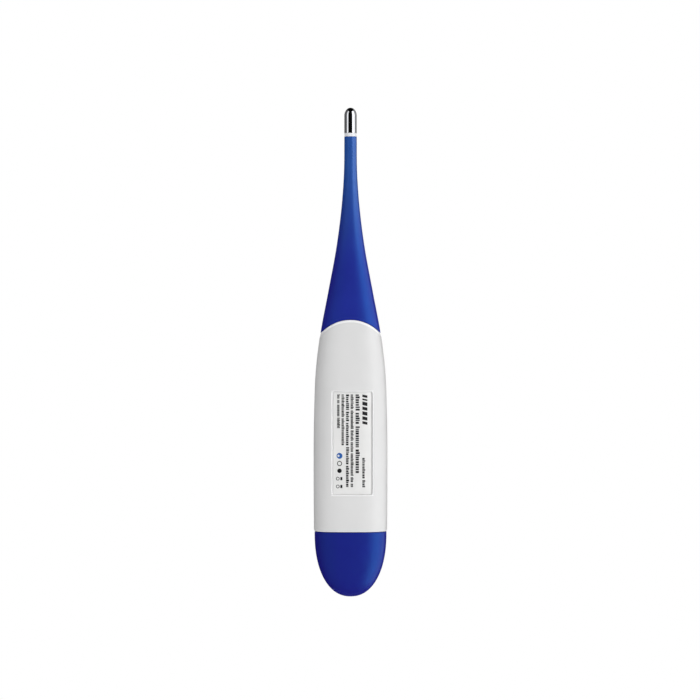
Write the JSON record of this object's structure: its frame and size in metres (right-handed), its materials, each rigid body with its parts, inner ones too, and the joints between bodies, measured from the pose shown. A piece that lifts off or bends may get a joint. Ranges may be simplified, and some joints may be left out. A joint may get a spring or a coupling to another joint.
{
  "type": "digital thermometer",
  "caption": "Slim clinical thermometer with a flexible probe, a steel sensor cap, an arched housing with a display and a button, and a rounded pull-off battery cover.",
  "frame": {"origin": "middle of the length and width, on the surface that the flat back rests on", "axes": "+X along the length towards the sensor tip, +Y across the width, +Z out of the display face"},
  "size_m": [0.138, 0.0208, 0.0125],
  "materials": {
    "white_shell": "satin moulded plastic",
    "blue_rubber": "smooth soft-touch elastomer",
    "blue_cover": "satin moulded plastic",
    "steel": "polished stainless steel",
    "adhesive": "cured clear adhesive",
    "label_paper": "printed film",
    "clear_window": "clear polished plastic",
    "lcd_glass": "display glass",
    "reflector": "satin reflective film",
    "holder": "matte moulded plastic",
    "zebra": "layered conductive rubber",
    "board": "solder mask over glass fibre",
    "resin": "black potting resin",
    "chip_ceramic": "matte ceramic",
    "solder": "bright solder",
    "switch_plastic": "matte moulded plastic",
    "contact_metal": "nickel-plated spring strip",
    "brass_disc": "rolled brass",
    "piezo_ceramic": "silvered ceramic",
    "tray_plastic": "matte moulded plastic",
    "gasket": "matte gasket",
    "seal_rubber": "matte rubber",
    "glass_bead": "dark glass bead",
    "wire_red": "enamel insulation",
    "wire_black": "enamel insulation"
  },
  "bodies": {
    "handle": {"housing_shell": "white_shell", "probe_root": "blue_rubber", "rating_label": "label_paper", "display_lens": "clear_window", "lcd_front_glass": "lcd_glass", "lcd_rear_glass": "lcd_glass", "lcd_reflector": "reflector", "lcd_holder": "holder", "zebra_strip": "zebra", "circuit_board": "board", "chip_blob": "resin", "chip_resistor_1": "resin", "chip_resistor_2": "resin", "chip_capacitor_1": "chip_ceramic", "chip_capacitor_2": "chip_ceramic", "solder_joint_a": "solder", "solder_joint_b": "solder", "switch_base": "switch_plastic", "switch_cover_plate": "contact_metal", "positive_contact": "contact_metal", "negative_contact": "contact_metal", "buzzer_disc": "brass_disc", "buzzer_ceramic": "piezo_ceramic", "battery_tray": "tray_plastic", "sealing_ring": "seal_rubber", "buzzer_wire_a": "wire_red", "buzzer_wire_b": "wire_black"},
    "flex_link": {"probe_flex": "blue_rubber", "lead_wire_a": "wire_red", "lead_wire_b": "wire_black"},
    "sensor_tip": {"probe_stem": "blue_rubber", "adhesive_ring": "adhesive", "probe_cap": "steel", "thermistor_bead": "glass_bead"},
    "power_button": {"power_button": "blue_rubber"},
    "switch_plunger": {"switch_plunger": "switch_plastic"},
    "battery_cover": {"battery_cover": "blue_cover"},
    "button_cell": {"cell_can": "steel", "cell_gasket": "gasket", "cell_cap": "steel"}
  },
  "joints": [
    {"name": "probe_bend", "type": "hinge", "parent": "handle", "child": "flex_link", "pos_m": [0.039, 0, 0.006], "axis": [0, -1, 0], "range_deg": [-30, 30], "stiffness_Nm_per_rad": 0.05, "deforming": ["lead_wire_a", "lead_wire_b"]},
    {"name": "probe_sway", "type": "hinge", "parent": "flex_link", "child": "sensor_tip", "pos_m": [0.051, 0, 0.006], "axis": [0, 0, 1], "range_deg": [-30, 30], "stiffness_Nm_per_rad": 0.05, "deforming": ["lead_wire_a", "lead_wire_b"]},
    {"name": "power_button_press", "type": "slide", "parent": "handle", "child": "power_button", "axis": [0, 0, -1], "range_m": [0, 0.0005], "stiffness_N_per_m": 500},
    {"name": "switch_plunger_press", "type": "slide", "parent": "handle", "child": "switch_plunger", "axis": [0, 0, -1], "range_m": [0, 0.0005]},
    {"name": "battery_cover_slide", "type": "slide", "parent": "handle", "child": "battery_cover", "axis": [-1, 0, 0], "range_m": [0, 0.025]},
    {"name": "button_cell_slide", "type": "slide", "parent": "handle", "child": "button_cell", "axis": [-1, 0, 0], "range_m": [0, 0.01]}
  ],
  "couplings": [
    {"joint": "switch_plunger_press", "follows": "power_button_press", "ratio": 1},
    {"joint": "button_cell_slide", "follows": "battery_cover_slide", "ratio": 0.4}
  ]
}
